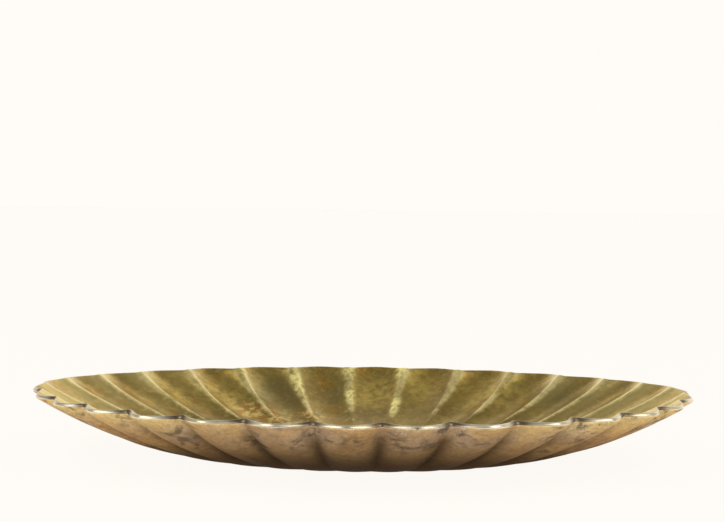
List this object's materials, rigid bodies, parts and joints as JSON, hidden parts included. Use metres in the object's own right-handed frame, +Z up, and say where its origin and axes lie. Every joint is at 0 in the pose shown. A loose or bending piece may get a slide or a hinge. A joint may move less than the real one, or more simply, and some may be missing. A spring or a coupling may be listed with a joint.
{
  "type": "tray",
  "caption": "Shallow oval cast-brass tray with fluted lobes, ridges between them inside and a scalloped rim, on felt pads; holds fruit, keys or small objects.",
  "frame": {"origin": "centre of the bounding box in plan, on the plane of the pads' undersides", "axes": "+X along the tray's length, +Y towards the side that is at the back in the picture, +Z up"},
  "size_m": [0.3992, 0.3246, 0.0427],
  "materials": {
    "aged_brass": "aged cast brass, polished by wear on the ridges and the rim, dark patina outside",
    "felt": "pressed dark brown wool felt"
  },
  "bodies": {
    "root": {"dish": "aged_brass", "base_pad_front_left": "felt", "base_pad_front_right": "felt", "base_pad_back_left": "felt", "base_pad_back_right": "felt"}
  },
  "joints": []
}
